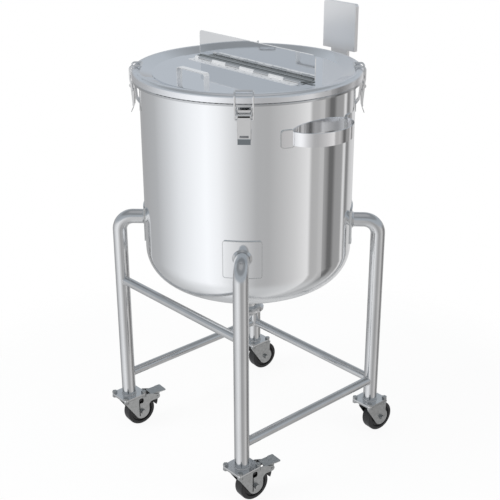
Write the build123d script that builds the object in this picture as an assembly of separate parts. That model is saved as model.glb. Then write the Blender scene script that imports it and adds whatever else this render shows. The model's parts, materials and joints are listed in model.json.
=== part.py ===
from build123d import *
import os
from math import asin, atan2, cos, hypot, pi, radians, sin, sqrt, tan

# Agitator tank: a dished stainless vessel with a half-hinged lid, held in a pipe frame on four casters.
# Millimetres, +Z up. The origin is on the floor under the tank axis, +X runs along the hatch hinge,
# and +Y points to the plate that carries the agitator.

# Tank shell
tank_radius = 284.0
sheet = 1.5
dish_top_z = 611.0
wall_height = 472.8
crown_radius = 487.0
knuckle_radius = 92.0
rim_width = 17.2
rim_depth = 7.5
rim_bend = 3.0

# Lid
lid_crest_height = 21.8
lid_shoulder = 10.0
lid_crest_out = 2.0
lid_slope_width = 36.0
lid_panel_drop = 12.1
opening_land = 12.0
opening_chord_y = -26.0
opening_corner = 15.0
gasket_base = 4.0
gasket_rib = 5.0
gasket_play = 0.5

# Hatch and its piano hinge
hatch_play = 1.0
hinge_y = -8.0
hinge_barrel_radius = 4.2
hinge_pin_radius = 2.4
hinge_bore_play = 0.06
hinge_inset = 36.0
hinge_pitch = 55.5
hinge_side_gap = 0.4
hinge_turn_gap = 0.6
hinge_leaf_width = 26.0
rear_leaf_edge_y = 20.0

# Upright plate that the open hatch leans on
stop_plate_y = 24.0
stop_plate_overhang = 21.0
stop_plate_height = 69.0
stop_plate_sheet = 2.0
stop_plate_bend = 4.0
stop_plate_corner = 8.0
stop_foot_step_y = 14.5

# Strap handle on the hatch
strap_centre_x = 3.5
strap_inset = 62.4
strap_length = 110.0
strap_height = 30.0
strap_width = 16.0
strap_sheet = 2.5
strap_corner = 8.0

# Pipe frame
leg_standoff = 75.6
leg_pipe_radius = 20.0
leg_pipe_wall = 2.0
leg_bend_radius = 40.0
leg_stub_rise = 69.5
leg_weld = 4.5
leg_foot_sheet = 4.0
leg_foot_drain = 5.0
bar_radius = 12.5
bar_wall = 1.5
low_bar_z = 177.7
high_bar_z = 487.0
pad_size = 100.0
pad_sheet = 3.0
pad_corner = 6.0
pad_drop = 4.5

# Bottom outlet
outlet_radius = 26.5
outlet_wall = 2.0
outlet_length = 78.2
outlet_lip = 3.0
union_radius = 43.5
union_height = 12.0
union_lift = 11.0
union_chamfer = 4.0
union_slots = 6
union_slot_radius = 4.0

# Side grab handles
grab_reach = 73.0
grab_half_length = 96.0
grab_inset = 16.7
grab_band = 3.5
grab_height = 34.0
grab_drop = 113.8
grab_foot_height = 44.0
grab_foot_length = 35.0
grab_foot_inside = 6.0
grab_foot_sheet = 3.0
grab_foot_corner = 8.0

# Agitator plate, its neck and its bracket
mount_standoff = 61.0
mount_half_width = 60.0
mount_lift = 16.2
mount_height = 130.0
mount_sheet = 3.0
mount_flange = 12.0
mount_corner = 8.0
neck_half_width = 31.0
neck_drop = 133.8
neck_lap = 24.0
bracket_half_width = 25.0
bracket_lift = 8.0
bracket_height = 72.0

# Over-centre clips, drawn at azimuth 0: distance out from the wall, and height below the rim's top
clip_azimuth = -43.6
clip_pivot = (20.0, 27.8)
clip_hook = (17.0, 40.3)
clip_pin_radius = 2.0
clip_play = 0.08
clip_cheek_half = 17.3
clip_cheek_sheet = 1.3
clip_cheek_eye = 6.0
clip_lever_half = 15.7
clip_lever_sheet = 1.3
clip_lever_eye = 4.5
clip_hook_eye = 4.2
clip_lever_top = (22.5, 33.3)
clip_lever_low = (18.5, 85.8)
clip_lever_tail = (24.0, 98.8)
clip_base_sheet = 1.5
clip_base_top = (14.0, 16.8)
clip_base_knee = (10.0, 63.8)
clip_base_wall_drop = 75.8
clip_base_end_drop = 95.8
wire_radius = 2.5
wire_half = 22.3
wire_outer = 21.7
wire_rise_drop = 7.8
wire_tip = -6.5
wire_over_crest = 0.5
wire_bends = (4.0, 7.5, 9.0, 5.0)

# Casters, drawn in (y, z) with the swivel axis at y = 0
caster_turn = -5.5
wheel_radius = 45.0
wheel_half_width = 16.0
wheel_shoulder = 5.0
wheel_headroom = 3.0
hub_side = 1.1
hub_radius = 15.0
web_radius = 32.0
web_depth = 4.0
axle_radius = 4.0
axle_play = 0.08
axle_nut = 8.0
caster_trail = 31.5
plate_x = 72.0
plate_y = 78.0
plate_sheet = 3.5
plate_corner = 7.0
bolt_x = 29.0
bolt_y = 32.0
bolt_radius = 4.0
bolt_play = 0.2
bolt_head = 5.5
bolt_nut = 6.5
bolt_across = 13.0
bolt_end = 1.0
race_gap = 0.3
race_radius = 25.0
race_height = 3.5
race_stack = 8.5
fork_sheet = 3.0
fork_side_gap = 0.9
fork_cheek = 2.5
fork_front_y = -23.0
fork_front_drop = 12.0
fork_top_rear_y = 40.0
fork_eye = 24.0
fork_waist = 7.5
fork_waist_rise = (19.0, 35.0)
kingpin_radius = 6.0
kingpin_head = 9.5

# Slot and window beside the axle in the braked forks
fork_slot_y = 22.0
fork_slot_width = 3.0
fork_slot_drop = 15.0
fork_window = (16.0, 17.0)
fork_window_corner = 6.0
fork_window_top = 3.0

# Brake on the front and left casters, placed from the axle
brake_pivot_from_axle = (55.0, 33.0)
brake_pin_radius = 3.0
brake_arm_end = 8.0
brake_arm_root_y = 58.0
brake_throat = 12.0
brake_side_gap = 0.7
brake_sheet = 2.5
brake_ear = 7.0
tread_lift = 12.5
tread_front = 20.5
tread_step = 10.5
tread_tail = 30.5
tread_half = 19.0
tread_corner = 3.0
shoe_gap = 4.0
shoe_half = 12.0
shoe_eye = 6.5
shoe_length = 32.0

rim_top_z = dish_top_z + wall_height
rim_radius = tank_radius + rim_width
lid_radius = rim_radius + sheet
lid_crest_z = rim_top_z + lid_crest_height
lid_crest_radius = tank_radius + lid_crest_out
lid_panel_radius = lid_crest_radius - lid_slope_width
lid_panel_z = lid_crest_z - lid_panel_drop
opening_radius = lid_panel_radius - opening_land
hatch_radius = lid_panel_radius - hatch_play
hatch_top_z = lid_panel_z + sheet
hinge_z = lid_panel_z + hinge_barrel_radius
hinge_end_x = opening_radius - hinge_inset
strap_y = strap_inset - hatch_radius
mount_y = tank_radius + mount_standoff
mount_bottom_z = rim_top_z + mount_lift
leg_reach = tank_radius + leg_standoff
leg_offset = leg_reach / sqrt(2)
leg_stub_z = dish_top_z + leg_stub_rise
fork_top_z = 2 * wheel_radius + wheel_headroom + fork_sheet
plate_bottom_z = fork_top_z + race_stack
plate_top_z = plate_bottom_z + plate_sheet
leg_foot_z = plate_top_z + leg_foot_sheet
fork_inner = wheel_half_width + hub_side + fork_side_gap
fork_outer = fork_inner + fork_cheek
axle_at = (caster_trail, wheel_radius)
brake_pivot = (axle_at[0] + brake_pivot_from_axle[0], axle_at[1] + brake_pivot_from_axle[1])
corners = {"front": (1, -1), "right": (1, 1), "back": (-1, 1), "left": (-1, -1)}
braked = ("front", "left")


def tube(radius, wall, bottom, top):
    ring = Circle(radius) - Circle(radius - wall)
    return extrude(Pos(0, 0, bottom) * ring, top - bottom)


def bar_between(start, end, radius):
    # A plain round bar from one point to another.
    span = Vector(*end) - Vector(*start)
    return extrude(Plane(origin=start, z_dir=span) * Circle(radius), span.length)


def turned(points, fillets=()):
    # A solid of revolution about Z from (radius, height) points, with some corners rounded.
    face = make_face(Polyline(*points, close=True))
    for point, radius in fillets:
        corner = face.vertices().sort_by_distance((point[0], point[1], 0))[0]
        face = fillet(corner, radius)
    return revolve(Plane.XZ * face, Axis.Z)


def prism_x(face, start, end):
    # Extrudes a (y, z) outline from x = start to x = end.
    return extrude(Plane.YZ.offset(start) * face, end - start)


def prism_v(face, start, end):
    # Extrudes a (radial, z) outline from y = start to y = end.
    return extrude(Plane.XZ.offset(-end) * face, end - start)


def bent_wire(points, radius, bends):
    # A round wire or pipe through the points, with a circular bend of its own radius at each inner one.
    stops = [Vector(*p) for p in points]
    edges = []
    last = stops[0]
    for before, corner, after, bend in zip(stops, stops[1:], stops[2:], bends):
        back = (before - corner).normalized()
        ahead = (after - corner).normalized()
        half = radians(back.get_angle(ahead) / 2)
        start = corner + back * (bend / tan(half))
        end = corner + ahead * (bend / tan(half))
        middle = corner + (back + ahead).normalized() * (bend / sin(half) - bend)
        edges.append(Line(last, start))
        edges.append(ThreePointArc(start, middle, end))
        last = end
    edges.append(Line(last, stops[-1]))
    path = Wire(edges)
    section = Plane(origin=path @ 0, z_dir=path % 0) * Circle(radius)
    return sweep(section, path=path)


def hexagon(across, bottom, top):
    return extrude(Pos(0, 0, bottom) * RegularPolygon(across / sqrt(3), 6), top - bottom)


def dish_edges(inset):
    # Crown arc and knuckle arc of the dished bottom, moved inwards by inset.
    meet = asin((tank_radius - knuckle_radius) / (crown_radius - knuckle_radius))
    crown = crown_radius - inset
    knuckle = knuckle_radius - inset

    def on_crown(angle):
        return (crown * sin(angle), crown_centre_z - crown * cos(angle))

    def on_knuckle(angle):
        return (tank_radius - knuckle_radius + knuckle * sin(angle), dish_top_z - knuckle * cos(angle))

    return [
        ThreePointArc(on_crown(0), on_crown(meet / 2), on_crown(meet)),
        ThreePointArc(on_crown(meet), on_knuckle((meet + pi / 2) / 2), on_knuckle(pi / 2)),
    ]


crown_centre_z = dish_top_z + sqrt(
    (crown_radius - knuckle_radius) ** 2 - (tank_radius - knuckle_radius) ** 2
)
dish_bottom_z = crown_centre_z - crown_radius


def tank_dish():
    # The dished bottom, welded to the wall at the top of its knuckle.
    inner = tank_radius - sheet
    outline = dish_edges(0) + dish_edges(sheet)
    outline.append(Line((tank_radius, dish_top_z), (inner, dish_top_z)))
    outline.append(Line((0, dish_bottom_z), (0, dish_bottom_z + sheet)))
    shell = revolve(Plane.XZ * make_face(outline), Axis.Z)
    drain = Pos(0, 0, dish_bottom_z) * Cylinder(outlet_radius - outlet_wall, 6 * sheet)
    return shell - drain


def tank_wall():
    return tube(tank_radius, sheet, dish_top_z, rim_top_z - sheet)


def tank_rim():
    # The turned-out rim on the wall's top edge, with its hem hanging down.
    inner = tank_radius - sheet
    rim_inner = rim_radius - sheet
    return turned(
        [
            (inner, rim_top_z - sheet),
            (rim_inner, rim_top_z - sheet),
            (rim_inner, rim_top_z - rim_depth),
            (rim_radius, rim_top_z - rim_depth),
            (rim_radius, rim_top_z),
            (inner, rim_top_z),
        ],
        [
            ((rim_radius, rim_top_z), rim_bend),
            ((rim_inner, rim_top_z - sheet), rim_bend - sheet),
            ((inner, rim_top_z), sheet / 2),
        ],
    )


def lid():
    slope = atan2(lid_panel_drop, lid_crest_radius - lid_panel_radius)
    shift = sheet * tan(slope / 2)
    skirt = lid_radius - sheet
    body = turned(
        [
            (lid_radius, rim_top_z),
            (lid_radius, lid_crest_z),
            (lid_crest_radius, lid_crest_z),
            (lid_panel_radius, lid_panel_z),
            (0, lid_panel_z),
            (0, lid_panel_z - sheet),
            (lid_panel_radius + shift, lid_panel_z - sheet),
            (lid_crest_radius + shift, lid_crest_z - sheet),
            (skirt, lid_crest_z - sheet),
            (skirt, rim_top_z),
        ],
        [((lid_radius, lid_crest_z), lid_shoulder), ((skirt, lid_crest_z - sheet), lid_shoulder - sheet)],
    )
    front = Pos(0, opening_chord_y - opening_radius) * Rectangle(2 * opening_radius, 2 * opening_radius)
    opening = Circle(opening_radius) & front
    opening = fillet(opening.vertices().filter_by(lambda v: v.Y > opening_chord_y - 1), opening_corner)
    return body - extrude(Pos(0, 0, lid_panel_z - 2 * sheet) * opening, 4 * sheet)


def lid_gasket():
    inner = lid_crest_radius + gasket_play
    base = turned([
        (tank_radius + gasket_play, rim_top_z),
        (rim_radius - gasket_play, rim_top_z),
        (rim_radius - gasket_play, rim_top_z + gasket_base),
        (inner + gasket_rib, rim_top_z + gasket_base),
        (inner + gasket_rib, lid_crest_z - sheet),
        (inner, lid_crest_z - sheet),
        (inner, rim_top_z + gasket_base),
        (tank_radius + gasket_play, rim_top_z + gasket_base),
    ])
    return base


def half_plane(edge_y):
    size = 2 * tank_radius
    return Pos(0, edge_y - size / 2) * Rectangle(size, size)


def hatch():
    rear = hinge_y - hinge_barrel_radius - hinge_turn_gap
    panel = Circle(hatch_radius) & half_plane(rear)
    return extrude(Pos(0, 0, lid_panel_z) * panel, sheet)


def knuckle_spans():
    # The knuckles along the barrel from its right end, each as (left x, right x). The strip is cut to
    # length, so the last knuckle is a part of one, or joins the one before where it would be a sliver.
    count = int(2 * hinge_end_x // hinge_pitch)
    rest = 2 * hinge_end_x - count * hinge_pitch
    lengths = [hinge_pitch] * count + [rest]
    if rest < hinge_barrel_radius:
        lengths[-2:] = [hinge_pitch + rest]
    spans = []
    right = hinge_end_x
    for length in lengths:
        spans.append((right - length, right))
        right -= length
    return spans


def hinge_axis_cylinder(radius, start, end):
    return bar_between((start, hinge_y, hinge_z), (end, hinge_y, hinge_z), radius)


def hinge_leaf(bottom_z, near_y, far_y, own, other):
    # One leaf: a plate, its own knuckles, and notches where the other leaf's knuckles turn.
    left = knuckle_spans()[-1][0]
    low, high = min(near_y, far_y), max(near_y, far_y)
    plate = Pos((left + hinge_end_x) / 2, (low + high) / 2, bottom_z + sheet / 2) * Box(
        hinge_end_x - left, high - low, sheet
    )
    for start, end in other:
        notch = hinge_axis_cylinder(
            hinge_barrel_radius + hinge_turn_gap, start - hinge_side_gap / 2, end + hinge_side_gap / 2
        )
        width = end - start + hinge_side_gap
        gap = Pos((start + end) / 2, hinge_y, bottom_z + sheet / 2) * Box(
            width, 2 * (hinge_barrel_radius + hinge_turn_gap), 4 * sheet
        )
        plate = plate - notch - gap
    for start, end in own:
        plate = plate + hinge_axis_cylinder(
            hinge_barrel_radius, start + hinge_side_gap / 2, end - hinge_side_gap / 2
        )
    bore = hinge_axis_cylinder(hinge_pin_radius + hinge_bore_play, left - 1, hinge_end_x + 1)
    return plate - bore


def hinge_rear_leaf():
    spans = knuckle_spans()
    return hinge_leaf(lid_panel_z, hinge_y, rear_leaf_edge_y, spans[0::2], spans[1::2])


def hinge_front_leaf():
    spans = knuckle_spans()
    far_y = hinge_y - hinge_leaf_width
    return hinge_leaf(hatch_top_z, hinge_y - hinge_pin_radius, far_y, spans[1::2], spans[0::2])


def hinge_pin():
    left = knuckle_spans()[-1][0]
    return hinge_axis_cylinder(hinge_pin_radius, left, hinge_end_x)


def stop_plate():
    foot_z = hatch_top_z
    top_z = foot_z + stop_plate_height
    half_length = hinge_end_x + stop_plate_overhang
    front = hinge_y + hinge_barrel_radius + hinge_turn_gap
    back = stop_plate_y + stop_plate_sheet
    outline = make_face(Polyline(
        (front, foot_z),
        (back, foot_z),
        (back, top_z),
        (stop_plate_y, top_z),
        (stop_plate_y, foot_z + stop_plate_sheet),
        (front, foot_z + stop_plate_sheet),
        close=True,
    ))
    for point, radius in (
        ((back, foot_z), stop_plate_bend),
        ((stop_plate_y, foot_z + stop_plate_sheet), stop_plate_bend - stop_plate_sheet),
    ):
        outline = fillet(outline.vertices().sort_by_distance((point[0], point[1], 0))[0], radius)
    body = prism_x(outline, -half_length, half_length)
    upright = body.edges().filter_by(Axis.Y).sort_by(Axis.Z)[-2:]
    body = fillet(upright, stop_plate_corner)
    step = stop_foot_step_y - front
    side = half_length - hinge_end_x
    for sign in (-1, 1):
        notch = Pos(sign * (hinge_end_x + side), front, foot_z) * Box(2 * side, 2 * step, 4 * stop_plate_sheet)
        body = body - notch
    return body


def hatch_handle():
    bottom = Pos(0, strap_height / 2)
    outer = bottom * Rectangle(strap_length, strap_height)
    outer = fillet(outer.vertices().sort_by(Axis.Y)[-2:], strap_corner)
    inner = Pos(0, (strap_height - strap_sheet) / 2) * Rectangle(
        strap_length - 2 * strap_sheet, strap_height - strap_sheet
    )
    inner = fillet(inner.vertices().sort_by(Axis.Y)[-2:], strap_corner - strap_sheet)
    band = extrude(Plane.XZ * (outer - inner), strap_width / 2, both=True)
    return Pos(strap_centre_x, strap_y, hatch_top_z) * band


def bolted_outline():
    # Outline shared by the caster's top plate and the leg's foot plate, with the four bolt holes.
    outline = RectangleRounded(plate_x, plate_y, plate_corner)
    return outline - GridLocations(2 * bolt_x, 2 * bolt_y, 2, 2) * Circle(bolt_radius + bolt_play)


def wall_window(length, height, corner, middle_z):
    # A prism out along +X with a rounded outline, which cuts a curved pad out of a tube.
    outline = Plane.YZ * RectangleRounded(length, height, corner)
    return extrude(Pos(tank_radius / 2, 0, middle_z) * outline, tank_radius)


def leg_azimuth(corner):
    x, y = corners[corner]
    return atan2(y, x) * 180 / pi


def leg_run(radius):
    # The centre line of a leg at azimuth 0: out of the wall, round the bend and down.
    start = tank_radius - leg_pipe_radius
    points = [(start, 0, leg_stub_z), (leg_reach, 0, leg_stub_z), (leg_reach, 0, leg_foot_z)]
    return bent_wire(points, radius, [leg_bend_radius])


def leg(corner):
    # Bent pipe with its weld collar on the pad, and the foot plate that the caster bolts to.
    length = pad_sheet + leg_weld
    weld = Pos(tank_radius + length / 2, 0, leg_stub_z) * Rot(0, 90, 0) * Cone(
        leg_pipe_radius + length, leg_pipe_radius, length
    )
    pad_face = Pos(0, 0, leg_stub_z) * Cylinder(tank_radius + pad_sheet, 4 * leg_pipe_radius)
    run = leg_run(leg_pipe_radius) + weld - leg_run(leg_pipe_radius - leg_pipe_wall) - pad_face
    run = Rot(0, 0, leg_azimuth(corner)) * run
    foot = bolted_outline() - Circle(leg_foot_drain)
    x, y = corners[corner]
    foot = extrude(Pos(x * leg_offset, y * leg_offset, plate_top_z) * foot, leg_foot_sheet)
    return run + foot


def leg_pads():
    pad_z = leg_stub_z - pad_drop
    shell = tube(tank_radius + pad_sheet, pad_sheet, pad_z - pad_size, pad_z + pad_size)
    pad = shell & wall_window(pad_size, pad_size, pad_corner, pad_z)
    return Compound([Rot(0, 0, leg_azimuth(corner)) * pad for corner in corners])


def frame_bar(first, second, height):
    # A pipe between two legs, with its ends coped to their round.
    ends = [(corners[name][0] * leg_offset, corners[name][1] * leg_offset, height) for name in (first, second)]
    pipe = bar_between(*ends, bar_radius) - bar_between(*ends, bar_radius - bar_wall)
    for x, y, z in ends:
        pipe = pipe - Pos(x, y, z) * Cylinder(leg_pipe_radius, 4 * bar_radius)
    return pipe


def outlet_neck():
    end_z = dish_bottom_z - outlet_length
    pipe = tube(outlet_radius, outlet_wall, end_z, dish_bottom_z + 4 * sheet)
    pipe = pipe - Pos(0, 0, crown_centre_z) * Sphere(crown_radius)
    lip = tube(outlet_radius + outlet_lip, outlet_wall + outlet_lip, end_z, end_z + outlet_lip)
    return pipe + lip


def outlet_union():
    bottom = dish_bottom_z - outlet_length + union_lift
    top = bottom + union_height
    nut = turned([
        (outlet_radius, bottom),
        (union_radius - union_chamfer / 2, bottom),
        (union_radius, bottom + union_chamfer / 2),
        (union_radius, top - union_chamfer),
        (union_radius - 2 * union_chamfer, top),
        (outlet_radius, top),
    ])
    for turn in range(union_slots):
        slot = Rot(0, 0, turn * 360 / union_slots) * Pos(union_radius, 0, (bottom + top) / 2)
        nut = nut - slot * Cylinder(union_slot_radius, 2 * union_height)
    return nut


def grab_handle(side):
    # An oval band whose ends meet the wall, each with a rounded foot plate.
    centre_x = tank_radius - grab_inset
    bottom = rim_top_z - grab_drop
    middle = bottom + grab_height / 2
    outer = Ellipse(grab_reach, grab_half_length)
    inner = Ellipse(grab_reach - grab_band, grab_half_length - grab_band)
    loop = extrude(Pos(centre_x, 0, bottom) * (outer - inner), grab_height)
    loop = loop - Pos(0, 0, middle) * Cylinder(tank_radius + grab_foot_sheet / 2, 2 * grab_height)
    # where the oval crosses the wall: (centre + reach c)^2 + half_length^2 (1 - c^2) = tank_radius^2
    square = grab_reach ** 2 - grab_half_length ** 2
    linear = 2 * centre_x * grab_reach
    rest = centre_x ** 2 + grab_half_length ** 2 - tank_radius ** 2
    c = (sqrt(linear ** 2 - 4 * square * rest) - linear) / (2 * square)
    meet = atan2(grab_half_length * sqrt(1 - c ** 2), centre_x + grab_reach * c)
    foot_middle = meet + (grab_foot_length / 2 - grab_foot_inside) / tank_radius
    shell = tube(tank_radius + grab_foot_sheet, grab_foot_sheet, bottom - grab_height, bottom + 2 * grab_height)
    foot = shell & wall_window(grab_foot_length, grab_foot_height, grab_foot_corner, middle)
    for sign in (-1, 1):
        loop = loop + Rot(0, 0, sign * foot_middle * 180 / pi) * foot
    return Rot(0, 0, 0 if side == "right" else 180) * loop


def mount_plate():
    # The plate that carries the agitator, with its sides and top folded away from the tank.
    depth = mount_flange
    panel = Pos(0, mount_y + depth / 2, mount_bottom_z + mount_height / 2) * Box(
        2 * mount_half_width, depth, mount_height
    )
    panel = fillet(panel.edges().filter_by(Axis.Y).sort_by(Axis.Z)[-2:], mount_corner)
    hollow = Pos(0, mount_y + mount_sheet + depth / 2, mount_bottom_z + mount_height / 2 - mount_sheet) * Box(
        2 * (mount_half_width - mount_sheet), depth, mount_height
    )
    return panel - hollow


def mount_neck():
    # A channel that stands behind the plate's lower edge and comes down beside the tank.
    bottom = rim_top_z - neck_drop
    top = mount_bottom_z + neck_lap
    depth = mount_flange - mount_sheet
    front = mount_y + mount_sheet
    panel = Pos(0, front + depth / 2, (bottom + top) / 2) * Box(2 * neck_half_width, depth, top - bottom)
    hollow = Pos(0, front + mount_sheet + depth / 2, (bottom + top) / 2) * Box(
        2 * (neck_half_width - mount_sheet), depth, 2 * (top - bottom)
    )
    return panel - hollow


def mount_bracket():
    # A channel from the wall to the neck, open underneath.
    bottom = rim_top_z - neck_drop + bracket_lift
    middle = bottom + bracket_height / 2
    front = mount_y + mount_sheet
    reach = front - tank_radius + 2 * mount_sheet
    centre = Pos(0, front - reach / 2, middle)
    outer = centre * Box(2 * bracket_half_width, reach, bracket_height)
    inner = Pos(0, 0, -mount_sheet) * centre * Box(
        2 * (bracket_half_width - mount_sheet), 2 * reach, bracket_height
    )
    wall = Pos(0, 0, middle) * Cylinder(tank_radius, 2 * bracket_height)
    return outer - inner - wall


def at_wall(point):
    # (distance out from the wall, distance below the rim's top) as (radius, z)
    return (tank_radius + point[0], rim_top_z - point[1])


def clip_place(index):
    return Rot(0, 0, clip_azimuth + 90 * index)


def sheet_strip(points, thickness):
    # The outline of a bent sheet: the points are its outer face, and it is thickened towards the wall.
    stops = [Vector(*p) for p in points]
    inner = []
    for i, stop in enumerate(stops):
        ahead = (stops[min(i + 1, len(stops) - 1)] - stops[max(i - 1, 0)]).normalized()
        inner.append(stop + Vector(ahead.Y, -ahead.X) * thickness)
    return make_face(Polyline(*stops, *reversed(inner), close=True))


pivot_at = at_wall(clip_pivot)
hook_at = at_wall(clip_hook)


def clip_base(index):
    outer_face = [
        at_wall(clip_base_top),
        at_wall(clip_base_knee),
        at_wall((clip_base_sheet, clip_base_wall_drop)),
        at_wall((clip_base_sheet, clip_base_end_drop)),
    ]
    base = prism_v(sheet_strip(outer_face, clip_base_sheet), -clip_cheek_half, clip_cheek_half)
    top, knee = outer_face[:2]
    low_z = pivot_at[1] - clip_cheek_eye
    lean = (top[0] - knee[0]) / (top[1] - knee[1])
    root = (knee[0] + lean * (low_z - knee[1]) - clip_base_sheet / 2, low_z)
    crown = (top[0] - clip_base_sheet / 2, top[1])
    arm = make_face(Polyline(
        root,
        (pivot_at[0], pivot_at[1] - clip_cheek_eye),
        (pivot_at[0], pivot_at[1] + clip_cheek_eye),
        crown,
        close=True,
    ))
    cheek = arm + Pos(*pivot_at) * Circle(clip_cheek_eye)
    for sign in (-1, 1):
        near, far = sorted((sign * (clip_cheek_half - clip_cheek_sheet), sign * clip_cheek_half))
        base = base + prism_v(cheek, near, far)
    pin_reach = clip_cheek_half + clip_cheek_sheet
    pin = prism_v(Pos(*pivot_at) * Circle(clip_pin_radius), -pin_reach, pin_reach)
    wall = Pos(0, 0, pivot_at[1]) * Cylinder(tank_radius, 4 * clip_base_end_drop)
    return clip_place(index) * (base + pin - wall)


def clip_lever(index):
    top, low, tail = at_wall(clip_lever_top), at_wall(clip_lever_low), at_wall(clip_lever_tail)
    plate = prism_v(sheet_strip([top, low, tail], clip_lever_sheet), -clip_lever_half, clip_lever_half)
    flange = make_face(Polyline(
        (pivot_at[0] + clip_lever_eye, pivot_at[1]),
        top,
        low,
        (low[0] - 2 * clip_lever_sheet, low[1] + 2 * clip_lever_sheet),
        (hook_at[0] - clip_hook_eye, hook_at[1]),
        (pivot_at[0] - clip_lever_eye, pivot_at[1]),
        close=True,
    ))
    flange = flange + Pos(*pivot_at) * Circle(clip_lever_eye) + Pos(*hook_at) * Circle(clip_hook_eye)
    flange = flange - Pos(*pivot_at) * Circle(clip_pin_radius + clip_play)
    flange = flange - Pos(*hook_at) * Circle(wire_radius + clip_play)
    for sign in (-1, 1):
        near, far = sorted((sign * (clip_lever_half - clip_lever_sheet), sign * clip_lever_half))
        plate = plate + prism_v(flange, near, far)
    return clip_place(index) * plate


def clip_bail(index):
    over_z = lid_crest_z + wire_over_crest + wire_radius
    outer_x = tank_radius + wire_outer
    tip_x = tank_radius + wire_tip
    hook_x, hook_z = hook_at
    half = bent_wire(
        [
            (hook_x, clip_lever_half - 2 * clip_lever_sheet, hook_z),
            (hook_x, wire_half, hook_z),
            (outer_x, wire_half, rim_top_z - wire_rise_drop),
            (outer_x, wire_half, over_z),
            (tip_x, wire_half, over_z),
            (tip_x, 0, over_z),
        ],
        wire_radius,
        wire_bends,
    )
    return clip_place(index) * (half + mirror(half, Plane.XZ))


def caster_at(corner):
    x, y = corners[corner]
    return Pos(x * leg_offset, y * leg_offset, 0)


def swivelled(corner):
    return caster_at(corner) * Rot(0, 0, caster_turn)


def caster_plate(corner):
    # Top plate with the upper race and the kingpin, whose head is held under the fork.
    plate = extrude(Pos(0, 0, plate_bottom_z) * bolted_outline(), plate_sheet)
    race_bottom = fork_top_z + race_height + race_gap
    race = Pos(0, 0, (race_bottom + plate_bottom_z) / 2) * Cone(
        race_radius - race_height, race_radius + race_height / 2, plate_bottom_z - race_bottom
    )
    head_top = fork_top_z - fork_sheet - race_gap
    pin = bar_between((0, 0, head_top - race_height), (0, 0, plate_bottom_z), kingpin_radius)
    head = bar_between((0, 0, head_top - race_height), (0, 0, head_top), kingpin_head)
    return caster_at(corner) * (plate + race + pin + head)


def caster_bolt():
    shank = bar_between((0, 0, plate_bottom_z - bolt_nut - bolt_end), (0, 0, leg_foot_z), bolt_radius)
    head = hexagon(bolt_across, leg_foot_z, leg_foot_z + bolt_head)
    nut = hexagon(bolt_across, plate_bottom_z - bolt_nut, plate_bottom_z)
    return shank + head + nut


def caster_bolts():
    bolt = caster_bolt()
    spots = GridLocations(2 * bolt_x, 2 * bolt_y, 2, 2)
    return Compound([caster_at(corner) * spot * bolt for corner in corners for spot in spots])


def fork_cheek_outline(with_brake):
    # Side of the fork in (y, z): a plate that hangs from the top to a round eye at the axle. With a
    # brake it runs on to the rear in an arm that holds the pedal's pivot.
    axle_y, axle_z = axle_at
    front = (fork_front_y, fork_top_z - fork_front_drop)
    reach = hypot(axle_y - front[0], axle_z - front[1])
    slope = atan2(axle_z - front[1], axle_y - front[0]) - asin(fork_eye / reach)
    tangent = sqrt(reach ** 2 - fork_eye ** 2)
    touch = (front[0] + tangent * cos(slope), front[1] + tangent * sin(slope))
    points = [(fork_front_y, fork_top_z), front, touch, axle_at, (axle_y + fork_eye, axle_z)]
    if with_brake:
        pivot_y, pivot_z = brake_pivot
        throat = (axle_y + fork_eye, pivot_z - brake_arm_end)
        points += [throat, (pivot_y, pivot_z - brake_arm_end), (pivot_y, pivot_z + brake_arm_end)]
        points += [(brake_arm_root_y, fork_top_z)]
    else:
        waist_y = axle_y + fork_eye - fork_waist
        points += [(waist_y, axle_z + rise) for rise in fork_waist_rise]
        points += [(axle_y + fork_eye - fork_waist / 2, fork_top_z)]
    outline = make_face(Polyline(*points, close=True))
    if with_brake:
        corner = outline.vertices().sort_by_distance((throat[0], throat[1], 0))[0]
        outline = fillet(corner, brake_throat)
        outline = outline + Pos(*brake_pivot) * Circle(brake_arm_end)
        outline = outline - Pos(*brake_pivot) * Circle(brake_pin_radius + axle_play)
    outline = outline + Pos(*axle_at) * Circle(fork_eye)
    return outline - Pos(*axle_at) * Circle(axle_radius + axle_play)


def fork_cut():
    # The upright slot beside the axle and the round-cornered window that it opens into.
    width, height = fork_window
    slot_left = fork_slot_y - fork_slot_width / 2
    window_top = fork_top_z - fork_sheet - fork_window_top
    window = Pos(slot_left + width / 2, window_top - height / 2) * RectangleRounded(
        width, height, fork_window_corner
    )
    low_z = wheel_radius - fork_slot_drop
    high_z = window_top - height / 2
    slot = Pos(fork_slot_y, (low_z + high_z) / 2) * Rectangle(fork_slot_width, high_z - low_z)
    return slot + window


def caster_fork(corner):
    with_brake = corner in braked
    outline = fork_cheek_outline(with_brake)
    if with_brake:
        outline = outline - fork_cut()
    cheeks = prism_x(outline, fork_inner, fork_outer) + prism_x(outline, -fork_outer, -fork_inner)
    length = fork_top_rear_y - fork_front_y
    top = Pos(0, fork_front_y + length / 2, fork_top_z - fork_sheet / 2) * Box(2 * fork_outer, length, fork_sheet)
    dish = Pos(0, 0, fork_top_z + race_height / 2) * Cone(race_radius, race_radius - race_height, race_height)
    bore = Pos(0, 0, fork_top_z) * Cylinder(kingpin_radius + axle_play, 4 * race_height)
    return swivelled(corner) * (cheeks + top + dish - bore)


def caster_axle(corner):
    end = fork_outer + axle_nut
    pin = bar_between((0, 0, -fork_outer), (0, 0, fork_outer), axle_radius)
    head = hexagon(bolt_across, -end, -fork_outer)
    nut = hexagon(bolt_across, fork_outer, end)
    return swivelled(corner) * Pos(0, *axle_at) * Rot(0, 90, 0) * (pin + head + nut)


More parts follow.
